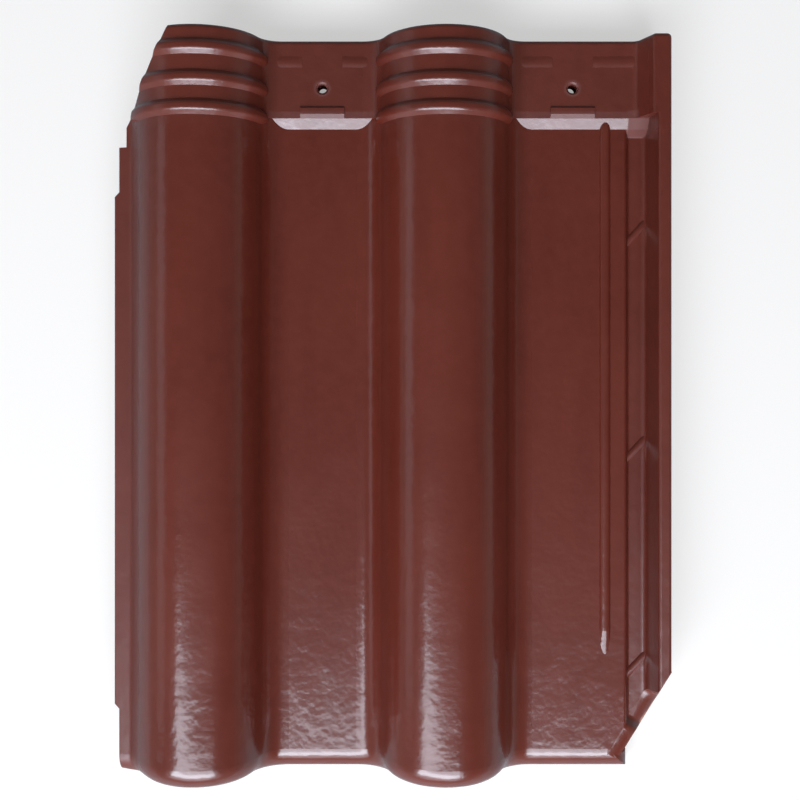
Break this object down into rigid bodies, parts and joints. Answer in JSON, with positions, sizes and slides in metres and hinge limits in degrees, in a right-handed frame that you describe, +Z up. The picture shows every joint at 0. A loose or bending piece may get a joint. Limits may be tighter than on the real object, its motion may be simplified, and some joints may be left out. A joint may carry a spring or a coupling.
{
  "type": "interlocking clay roof tile",
  "caption": "Glazed clay interlocking roof tile with rounded rolls, flat pans, a side lock with water channel, a ribbed head lock and nail holes.",
  "frame": {"origin": "under the middle of the tile's box, on the surface that the tile lies on", "axes": "+Y up the roof towards the head of the tile, +X across it towards the side lock, +Z up out of the glazed face"},
  "size_m": [0.3, 0.4, 0.0561],
  "materials": {
    "glaze": "gloss"
  },
  "bodies": {
    "root": {"roof_tile": "glaze"}
  },
  "joints": []
}
